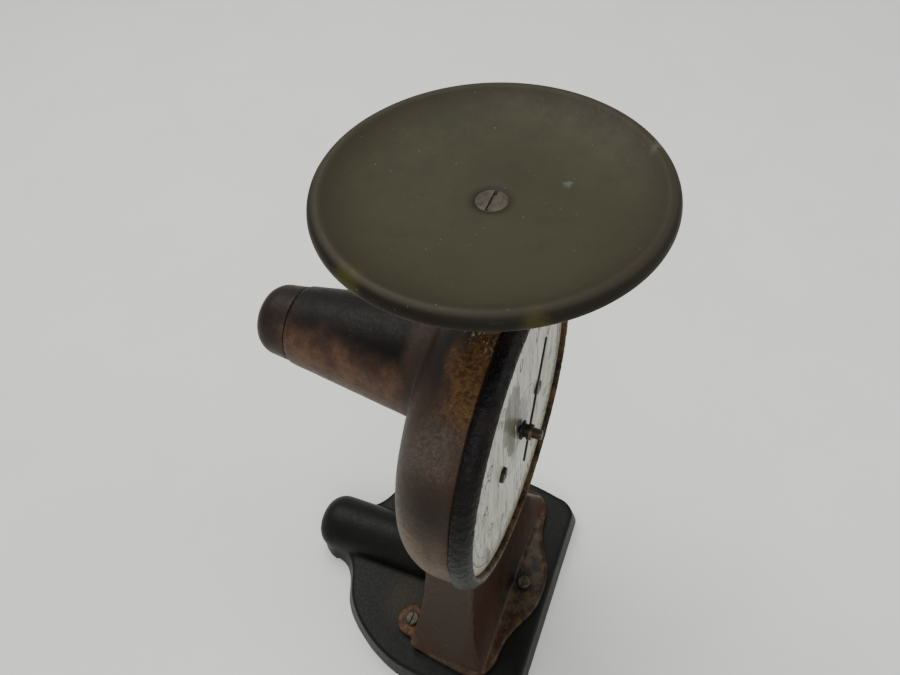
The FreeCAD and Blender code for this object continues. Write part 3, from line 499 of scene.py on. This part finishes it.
def from_bmesh(name, mesh):
    """Turns a finished bmesh into an object and frees it."""
    data = bpy.data.meshes.new(name)
    mesh.to_mesh(data)
    mesh.free()
    return new_object(name, data)


def shade_smooth(mesh):
    for polygon in mesh.polygons:
        polygon.use_smooth = True


def applied(obj):
    """Replaces an object's mesh by the result of its modifiers."""
    bpy.context.view_layer.update()
    graph = bpy.context.evaluated_depsgraph_get()
    mesh = bpy.data.meshes.new_from_object(obj.evaluated_get(graph))
    obj.modifiers.clear()
    obj.data = mesh


def cast_copy(node, name, voxel, smoothing, body, material):
    """A cast piece: the CAD solid remeshed and smoothed, so that its corners and joins flow."""
    obj = new_object(name, NODES[node].data.copy())
    remesh = obj.modifiers.new("remesh", "REMESH")
    remesh.mode = "VOXEL"
    remesh.voxel_size = voxel
    remesh.use_smooth_shade = True
    smooth = obj.modifiers.new("smooth", "SMOOTH")
    smooth.factor = 0.5
    smooth.iterations = smoothing
    applied(obj)
    shade_smooth(obj.data)
    low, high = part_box(node)
    for vertex in obj.data.vertices:
        for axis in range(3):
            vertex.co[axis] = min(max(vertex.co[axis], low[axis]), high[axis])
    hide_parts(node)
    return put(obj, body, material)


def roughen(obj, height, scale, octaves=3):
    """Moves a piece's skin in by up to height, in a fractal pattern of scale features per metre."""
    normals = [vertex.normal.copy() for vertex in obj.data.vertices]
    for vertex, normal in zip(obj.data.vertices, normals):
        level = noise.fractal(vertex.co * scale, 1.0, 2.0, octaves, noise_basis="PERLIN_ORIGINAL")
        vertex.co -= normal * height * min(max(0.5 + 0.5 * level, 0.0), 1.0)


def pan_profile():
    """Closed (radius, height) outline of the pan: countersink, dish, rounded rim and underside."""
    floor = RIM_Z - DISH_DEPTH
    low = PLATE_LOW.z
    points = [
        (SCREW_HOLE_R, low),
        (SCREW_HOLE_R, low + 0.2 * MM),
        (SCREW_HEAD_R, floor - 0.4 * MM),
        (SCREW_HEAD_R + 1.2 * MM, floor - 0.28 * MM),
    ]
    # The dish rises slowly at first and more steeply near the rim.
    start = 9.0 * MM
    crest = PLATE_R - 4.2 * MM
    sink = 0.08 * MM
    rings = 40
    for k in range(rings + 1):
        t = k / rings
        lift = 0.62 * t ** 2.1 + 0.38 * t ** 7
        points.append((start + (crest - start) * t, floor - sink + (DISH_DEPTH + sink) * lift))
    # Rim and underside: how far in from the edge and how far down from the top, in millimetres.
    rim = (
        (3.5, 0.03), (2.7, 0.20), (1.9, 0.55), (1.2, 1.10),
        (0.6, 1.85), (0.2, 2.8), (0.0, 3.8), (0.05, 4.6),
    )
    underside = (
        (0.4, 5.15), (0.9, 5.2), (1.6, 4.8), (4.4, 3.4),
        (8.0, 4.5), (15.0, 6.45), (24.0, 8.3),
    )
    points += [(PLATE_R - inset * MM, RIM_Z - drop * MM) for inset, drop in rim + underside]
    return points + [(PLATE_R - 34.0 * MM, low + 0.45 * MM), (17.5 * MM, low)]


def weighing_pan(material):
    """Spun pan with a flowing profile and the slightest waviness; it replaces the CAD plate."""
    steps = 256
    waviness = 0.10 * MM
    mesh = bmesh.new()
    rings = []
    for radius, level in pan_profile():
        ring = []
        for k in range(steps):
            angle = 2 * math.pi * k / steps
            wave = noise.noise(Vector((math.cos(angle), math.sin(angle), radius * 40.0))) * waviness
            height = min(level + wave * min(radius / PLATE_R, 1.0) ** 2, RIM_Z)
            spot = (radius * math.cos(angle), radius * math.sin(angle), height)
            ring.append(mesh.verts.new(spot))
        rings.append(ring)
    for a, b in zip(rings, rings[1:] + rings[:1]):
        for k in range(steps):
            n = (k + 1) % steps
            mesh.faces.new((a[k], a[n], b[n], b[k]))
    bmesh.ops.recalc_face_normals(mesh, faces=mesh.faces)
    pan = from_bmesh("weighing_pan", mesh)
    shade_smooth(pan.data)
    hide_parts("weigh_plate")
    put(pan, "platform", material)


def text_mesh(name, body, size):
    """Flat text on the dial's plane, centred on the origin and upright seen from the front."""
    curve = bpy.data.curves.new(name, "FONT")
    curve.body = body
    curve.size = size
    curve.align_x = "CENTER"
    curve.align_y = "CENTER"
    obj = new_object(name, curve)
    bpy.context.view_layer.update()
    graph = bpy.context.evaluated_depsgraph_get()
    mesh = bpy.data.meshes.new_from_object(obj.evaluated_get(graph))
    bpy.data.objects.remove(obj)
    mesh.transform(Matrix.Rotation(math.radians(90.0), 4, "X"))
    return mesh


def dial_spot(angle, radius):
    """Place on the ink's plane at a radius, with the angle clockwise from the top."""
    return Vector((math.sin(angle) * radius, INK_Y, DIAL_Z + math.cos(angle) * radius))


def add_tick(mesh, angle, inner, width):
    """One radial mark from the inner radius out to the scale's outer line."""
    radial = Vector((math.sin(angle), 0.0, math.cos(angle)))
    across = Vector((math.cos(angle), 0.0, -math.sin(angle))) * (width / 2)
    centre = Vector((0.0, INK_Y, DIAL_Z))
    corners = [
        centre + radial * inner - across, centre + radial * inner + across,
        centre + radial * SCALE_R + across, centre + radial * SCALE_R - across,
    ]
    mesh.faces.new([mesh.verts.new(corner) for corner in corners])


def add_line(mesh, radius, width, steps=180):
    """One printed circle."""
    for k in range(steps):
        a = 2 * math.pi * k / steps
        b = 2 * math.pi * (k + 1) / steps
        corners = ((a, radius), (b, radius), (b, radius + width), (a, radius + width))
        mesh.faces.new([mesh.verts.new(dial_spot(angle, r)) for angle, r in corners])


def dial_marks(material):
    """Graduations and border lines as thin inked shapes just proud of the dial's face."""
    minor = 4
    mesh = bmesh.new()
    for k in range(FULL_TURN * minor):
        angle = 2 * math.pi * k / (FULL_TURN * minor)
        if k % minor == 0:
            add_tick(mesh, angle, DIAL_R - 13.0 * MM, 0.9 * MM)
        elif k % minor == minor // 2:
            add_tick(mesh, angle, DIAL_R - 10.0 * MM, 0.6 * MM)
        else:
            add_tick(mesh, angle, DIAL_R - 8.0 * MM, 0.45 * MM)
    add_line(mesh, SCALE_R, 0.5 * MM)
    add_line(mesh, DIAL_R - 8.2 * MM, 0.3 * MM)
    add_line(mesh, 21.0 * MM, 0.35 * MM, 120)
    put(from_bmesh("dial_marks", mesh), "stand", material)


def dial_numbers(material):
    """Every second number, its foot towards the dial's centre."""
    numbers = bmesh.new()
    for k in range(0, FULL_TURN, 2):
        angle = 2 * math.pi * k / FULL_TURN
        glyph = text_mesh("number_%02d" % k, str(k), 10.5 * MM)
        glyph.transform(Matrix.Rotation(angle, 4, "Y"))
        glyph.transform(Matrix.Translation(dial_spot(angle, DIAL_R - 21.0 * MM)))
        numbers.from_mesh(glyph)
        bpy.data.meshes.remove(glyph)
    put(from_bmesh("dial_numbers", numbers), "stand", material)


def metals():
    """The bare metals: dark tone, light tone, tarnish and how metallic each is."""
    tones = {
        "old_steel": ((0.020, 0.016, 0.010), (0.065, 0.053, 0.036), (0.040, 0.022, 0.010), 0.5),
        "spring_steel": ((0.12, 0.11, 0.10), (0.34, 0.33, 0.31), (0.10, 0.06, 0.03), 0.95),
        "black_steel": ((0.004, 0.004, 0.004), (0.012, 0.012, 0.012), (0.020, 0.014, 0.010), 0.3),
        "clock_brass": ((0.070, 0.055, 0.020), (0.180, 0.140, 0.055), (0.040, 0.045, 0.020), 0.8),
        "dark_brass": ((0.012, 0.011, 0.005), (0.040, 0.034, 0.014), (0.018, 0.021, 0.011), 0.5),
    }
    return {slot: aged_metal(slot + "_looks", *values) for slot, values in tones.items()}


def build():
    """Gives every CAD node its material, then puts finer meshes in place of some of them."""
    iron = japanned_iron("japanned_iron_looks")
    enamel = black_enamel("black_enamel_looks")
    base_black = black_base("black_base_looks")
    brass = patinated_brass("patinated_brass_looks")
    face = dial_face("dial_face_looks")
    ink = dial_ink("dial_ink_looks")
    looks = {
        "patinated_brass": brass,
        "japanned_iron": iron,
        "black_enamel_iron": enamel,
        "dial_face": face,
        "black_iron": base_black,
        **metals(),
    }
    for entry in frame["record"]["subparts"]:
        node = NODES[entry["node"]]
        node.data.materials.clear()
        node.data.materials.append(looks[entry["material_slot"]])

    coarse = 0.9 * MM
    fine = 0.6 * MM
    casting = cast_copy("housing", "stand_casting", coarse, 14, "stand", iron)
    roughen(casting, 0.18 * MM, 130.0)
    cap = cast_copy("horn_cap", "horn_end_cap", fine, 8, "stand", iron)
    roughen(cap, 0.12 * MM, 160.0)
    foot = cast_copy("base", "cast_base", coarse, 16, "stand", base_black)
    roughen(foot, 0.15 * MM, 110.0)
    bezel = cast_copy("bezel_ring", "dial_bezel", fine, 4, "stand", enamel)
    roughen(bezel, 0.35 * MM, 420.0, 4)
    dial_marks(ink)
    dial_numbers(ink)
    weighing_pan(brass)


# ---------------------------------------------------------------- camera and light

def look_camera():
    """Camera above and to the left of the dial, looking down on the plate."""
    yaw = math.radians(-64.533)
    pitch = math.radians(49.546)
    roll = math.radians(-5.102)
    level = math.cos(pitch)
    back = Vector((math.sin(yaw) * level, -math.cos(yaw) * level, math.sin(pitch)))
    right = (-back).cross(Vector((0, 0, 1))).normalized()
    up = right.cross(-back)
    right_rolled = right * math.cos(roll) + up * math.sin(roll)
    up_rolled = up * math.cos(roll) - right * math.sin(roll)
    data = bpy.data.cameras.new("camera")
    data.sensor_width = 36.0
    data.lens = 30.226
    data.clip_start = 0.01
    camera = bpy.data.objects.new("camera", data)
    bpy.context.scene.collection.objects.link(camera)
    rows = Matrix((right_rolled, up_rolled, back)).transposed().to_4x4()
    rows.translation = Vector((-182.4, -67.4, 479.8)) * MM
    camera.matrix_world = rows
    bpy.context.scene.camera = camera


def area_light(name, place, target, size, energy, colour=(1, 1, 1)):
    """A round soft light at a place, aimed at a target; energy is in watts."""
    data = bpy.data.lights.new(name, "AREA")
    data.shape = "DISK"
    data.size = size
    data.energy = energy
    data.color = colour
    light = bpy.data.objects.new(name, data)
    bpy.context.scene.collection.objects.link(light)
    light.location = place
    aim = (Vector(target) - Vector(place)).to_track_quat("-Z", "Y")
    light.rotation_euler = aim.to_euler()


def studio():
    """Pale table, three wide soft lights and even grey surroundings."""
    grid = bmesh.new()
    bmesh.ops.create_grid(grid, x_segments=8, y_segments=8, size=3.0)
    table = from_bmesh("table", grid)
    table.location.z = BASE_BOTTOM - 0.05 * MM
    table.data.materials.append(table_top("table_looks"))
    area_light("key_light", (0.35, 0.55, 1.60), (0, 0.02, 0.15), 1.4, 21.5, (1.0, 0.99, 0.955))
    area_light("fill_light", (-1.1, -0.5, 1.15), (0, 0, 0.15), 1.3, 8.0, (1.0, 1.0, 0.99))
    area_light("front_light", (0.3, -1.3, 0.9), (0, 0, 0.18), 1.0, 4.5)
    world = bpy.data.worlds.new("surroundings")
    world.use_nodes = True
    world.node_tree.nodes["Background"].inputs["Color"].default_value = (0.93, 0.96, 0.95, 1.0)
    world.node_tree.nodes["Background"].inputs["Strength"].default_value = 0.55
    bpy.context.scene.world = world


build()
studio()
look_camera()
